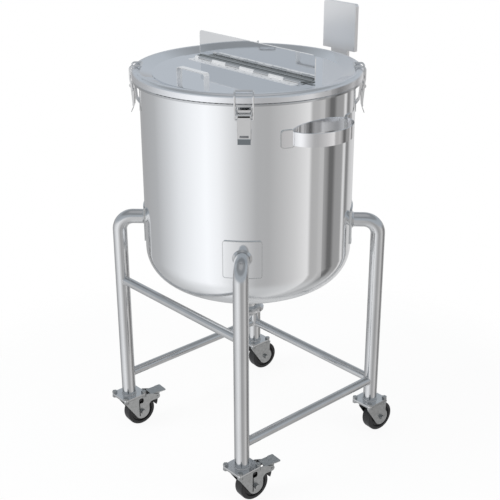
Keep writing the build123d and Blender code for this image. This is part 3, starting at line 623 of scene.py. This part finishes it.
sheetWelds = {
    "sheet": 0.003,
    "width": 0.0020,
    "rise": 0.0005,
    "steps": 6,
    "cuts": 20,
    "legPad": {"half": (0.050, 0.050), "corner": 0.006},
    "grabFoot": {"half": (0.0175, 0.022), "corner": 0.008},
}


def makeSheetWeld(name, azimuth, height, sheet):
    # a fine weld round the edge of a sheet on the wall: made flat, then bent round the tank
    width = sheetWelds["width"]
    corner = sheet["corner"] + width / 2
    wide, tall = (half + width / 2 for half in sheet["half"])
    shape = bmesh.new()
    bmesh.ops.create_grid(
        shape, x_segments=1, y_segments=1, size=1, matrix=Matrix.Diagonal((wide, tall, 1, 1)),
    )
    bmesh.ops.bevel(
        shape, geom=list(shape.verts), affect="VERTICES", offset=corner, segments=sheetWelds["steps"],
        profile=0.5, material=-1,
    )
    sides = [edge for edge in shape.edges if edge.calc_length() > corner]
    bmesh.ops.subdivide_edges(shape, edges=sides, cuts=sheetWelds["cuts"])
    bmesh.ops.inset_region(
        shape, faces=list(shape.faces), thickness=width, use_boundary=True, use_even_offset=True,
    )
    middle = max(shape.faces, key=lambda face: face.calc_area())
    bmesh.ops.delete(shape, geom=[middle], context="FACES")
    depth = sheetWelds["sheet"] + sheetWelds["rise"]
    bmesh.ops.solidify(shape, geom=list(shape.faces), thickness=depth)
    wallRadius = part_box("tank_wall")[1][0]
    for vert in shape.verts:
        turn = azimuth + vert.co.x / (wallRadius + sheetWelds["sheet"])
        out = wallRadius + depth - abs(vert.co.z)
        vert.co = Vector((out * math.cos(turn), out * math.sin(turn), height + vert.co.y))
    newPiece(name, shape, "tank", "sheetWeld", smooth=False)


def makeSheetWelds():
    low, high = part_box("leg_pads")
    height = (low[2] + high[2]) / 2
    for name, place in swivels.items():
        makeSheetWeld("pad_weld_" + name, math.atan2(place[1], place[0]), height, sheetWelds["legPad"])
    low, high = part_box("grab_handle_right")
    height = (low[2] + high[2]) / 2
    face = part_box("tank_wall")[1][0] + sheetWelds["sheet"]
    foot = sheetWelds["grabFoot"]
    aside = math.asin(high[1] / face) - foot["half"][0] / face
    for side, middle in (("right", 0), ("left", math.pi)):
        for end, sign in (("front", -1), ("back", 1)):
            makeSheetWeld("grab_weld_" + side + "_" + end, middle + sign * aside, height, foot)


makeSheetWelds()
print("sheet welds made")

leverMark = {
    "width": 0.0220,
    "height": 0.0052,
    "rise": 0.0010,
    "up": 0.0185,
    "out": 0.0192,  # from the wall
    "lean": (0.0040, 0.0525),  # the lever's lean, out over up
    "round": 0.0007,
    "steps": 3,
}


def makeLeverMarks():
    # a pressed bar near the foot of each clip lever, coloured dark as painted shade
    slope = math.atan2(*leverMark["lean"])
    for name in swivels:
        low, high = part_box("clip_lever_" + name)
        middle = Vector(((low[0] + high[0]) / 2, (low[1] + high[1]) / 2, 0))
        azimuth = math.atan2(middle.y, middle.x)
        shape = bmesh.new()
        size = Matrix.Diagonal((leverMark["rise"] * 2, leverMark["width"], leverMark["height"], 1))
        bmesh.ops.create_cube(shape, size=1, matrix=size)
        bmesh.ops.bevel(
            shape, geom=list(shape.edges), affect="EDGES", offset=leverMark["round"],
            segments=leverMark["steps"], profile=0.5, material=-1,
        )
        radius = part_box("tank_wall")[1][0] + leverMark["out"]
        place = Matrix.Rotation(azimuth, 4, "Z") @ Matrix.Translation((radius, 0, low[2] + leverMark["up"]))
        bmesh.ops.transform(shape, matrix=place @ Matrix.Rotation(-slope, 4, "Y"), verts=shape.verts)
        newPiece("lever_mark_" + name, shape, "clip_lever_" + name, "pressedShadeMark")


makeLeverMarks()

hingeDots = {"count": 12, "radius": 0.0022, "rise": 0.35, "edge": 0.007, "leaf": 0.0015}


def makeHingeDots():
    # flat rivet heads along the front leaf
    low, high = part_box("hinge_front_leaf")
    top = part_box("hatch")[1][2] + hingeDots["leaf"]
    shape = bmesh.new()
    for index in range(hingeDots["count"]):
        share = (index + 0.5) / hingeDots["count"]
        place = (low[0] + share * (high[0] - low[0]), low[1] + hingeDots["edge"], top)
        flat = Matrix.Translation(place) @ Matrix.Diagonal((1, 1, hingeDots["rise"], 1))
        bmesh.ops.create_uvsphere(
            shape, u_segments=16, v_segments=8, radius=hingeDots["radius"], matrix=flat,
        )
    newPiece("hinge_rivets", shape, "hatch", "clipSteel")


makeHingeDots()

stopHighlight = {
    "sheet": 0.002,
    "corner": 0.008,
    "foot": 0.006,
    "width": 0.0024,
    "height": 0.0016,
    "bevel": 0.0004,
    "steps": 2,
}


def makeStopHighlight():
    # a bright strip along the top and the two ends of the upright plate: a painted highlight on its edge
    low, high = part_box("stop_plate")
    wide, tall, proud, corner = (stopHighlight[key] for key in ("width", "height", "bevel", "corner"))
    middle = high[1] - stopHighlight["sheet"] / 2
    foot = low[2] + stopHighlight["foot"]
    end = (high[2] - corner - foot) / 2
    shape = bmesh.new()
    runs = [((0, middle, high[2] - tall / 2 + proud), (high[0] - low[0] - 2 * corner, wide, tall))]
    for side in (low[0] + tall / 2 - proud, high[0] - tall / 2 + proud):
        runs.append(((side, middle, foot + end), (tall, wide, 2 * end)))
    for place, size in runs:
        turn = Matrix.Translation(place) @ Matrix.Diagonal((*size, 1))
        bmesh.ops.create_cube(shape, size=1, matrix=turn)
    bmesh.ops.bevel(
        shape, geom=list(shape.edges), affect="EDGES", offset=proud, segments=stopHighlight["steps"],
        profile=0.5, material=-1,
    )
    newPiece("stop_edge_highlight", shape, "tank", "strapSteel", smooth=False)


makeStopHighlight()
print("lever marks, rivets and plate edge made")

bpy.context.scene.view_settings.view_transform = "Standard"
